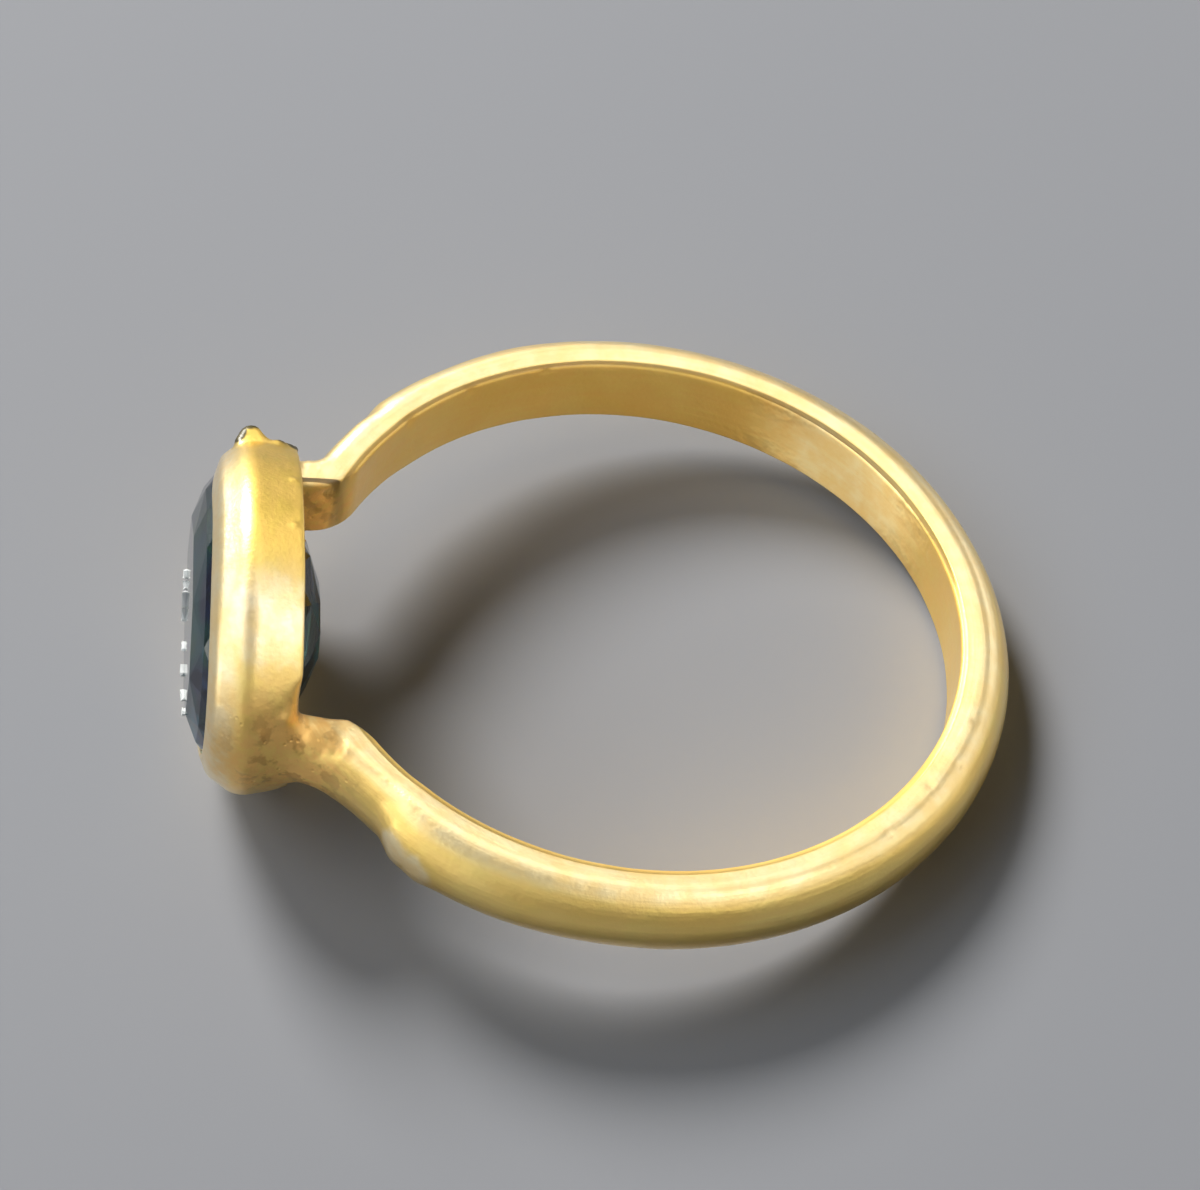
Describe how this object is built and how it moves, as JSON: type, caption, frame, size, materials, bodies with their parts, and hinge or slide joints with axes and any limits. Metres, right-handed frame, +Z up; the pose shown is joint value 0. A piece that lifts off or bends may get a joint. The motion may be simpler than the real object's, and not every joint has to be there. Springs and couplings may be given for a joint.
{
  "type": "kyanite ring",
  "caption": "Plain domed gold finger ring with an open-backed oval bezel that holds a dark teal-blue faceted kyanite.",
  "frame": {"origin": "on the surface that the ring lies on, under the middle of its box", "axes": "+Z up, -X towards the bezel, +X towards the back of the band; the finger hole's axis leans from +Z towards +X by the angle at which the ring rests"},
  "size_m": [0.0222, 0.0202, 0.0079],
  "materials": {
    "gold": "satin, hand finished",
    "stone": "polished facets, glassy"
  },
  "bodies": {
    "root": {"band_and_bezel": "gold", "kyanite": "stone"}
  },
  "joints": []
}
